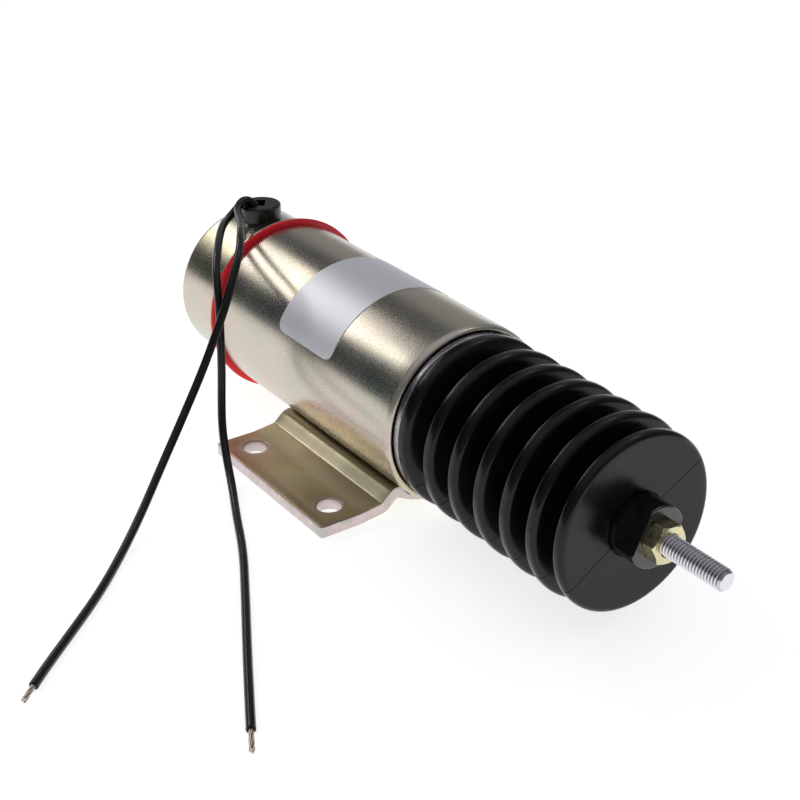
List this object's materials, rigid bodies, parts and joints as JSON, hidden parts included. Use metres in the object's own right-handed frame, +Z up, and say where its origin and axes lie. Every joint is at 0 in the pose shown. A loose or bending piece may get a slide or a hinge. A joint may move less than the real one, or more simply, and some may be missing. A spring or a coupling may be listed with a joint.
{
  "type": "fuel shutoff solenoid",
  "caption": "Pull-type fuel shutoff solenoid with a zinc-plated can, foot bracket, bellows boot, threaded pull stud and two flying leads.",
  "frame": {"origin": "centre of the four-hole pattern on the bracket's underside, the mounting face", "axes": "+X along the plunger's axis towards the pull stud, +Z up from the mounting face, +Y across the bracket"},
  "size_m": [0.2264, 0.1827, 0.0653],
  "materials": {
    "zinc_body": "satin zinc plate",
    "zinc_olive": "yellow chromate zinc plate, satin",
    "zinc_bright": "bright zinc plate",
    "zinc_gold": "yellow chromate zinc plate",
    "gasket_red": "smooth",
    "rubber_black": "glossy moulded",
    "rubber_dull": "satin moulded",
    "hub_black": "black oxide",
    "label_silver": "satin foil",
    "lead_black": "satin insulation",
    "wire_tinned": "tinned strands",
    "steel_plain": "turned",
    "spring_steel": "drawn wire",
    "brass_tube": "drawn",
    "copper_winding": "enamelled copper winding",
    "copper_contact": "copper",
    "spool_nylon": "natural nylon",
    "wrap_tape": "varnished tape",
    "phenolic": "moulded phenolic",
    "weld_bead": "plated weld"
  },
  "bodies": {
    "housing": {"housing_tube": "zinc_body", "mounting_bracket": "zinc_olive", "saddle_welds": "weld_bead", "rear_cap": "zinc_body", "rear_gasket": "gasket_red", "lead_grommet": "rubber_dull", "cap_posts": "brass_tube", "cap_screws": "zinc_bright", "rear_pole_piece": "steel_plain", "guide_tube": "brass_tube", "coil_spool": "spool_nylon", "pull_in_coil": "copper_winding", "hold_in_coil": "copper_winding", "coil_wrap": "wrap_tape", "front_end_plate": "zinc_bright", "return_spring": "spring_steel", "rubber_boot": "rubber_black", "switch_base": "phenolic", "fixed_contacts": "copper_contact", "spring_cup": "phenolic", "switch_spring": "spring_steel", "lead_lugs": "copper_contact", "rating_label": "label_silver", "lead_a": "lead_black", "lead_a_strands": "wire_tinned", "lead_b": "lead_black", "lead_b_strands": "wire_tinned"},
    "plunger_assembly": {"plunger": "steel_plain", "plunger_rod": "hub_black", "pull_stud": "zinc_bright", "jam_nut": "zinc_gold", "spring_seat": "steel_plain"},
    "switch_plunger": {"switch_pin": "phenolic", "moving_contact": "copper_contact"}
  },
  "joints": [
    {"name": "plunger_slide", "type": "slide", "parent": "housing", "child": "plunger_assembly", "axis": [1, 0, 0], "range_m": [-0.0254, 0], "stiffness_N_per_m": 600, "springref_m": 0.02, "deforming": ["rubber_boot", "return_spring"]},
    {"name": "switch_pin_slide", "type": "slide", "parent": "housing", "child": "switch_plunger", "axis": [1, 0, 0], "range_m": [-0.0015, 0], "stiffness_N_per_m": 400, "springref_m": 0.003, "deforming": ["switch_spring"]}
  ],
  "couplings": [
    {"joint": "switch_pin_slide", "follows": "plunger_slide", "ratio": 0.059}
  ]
}
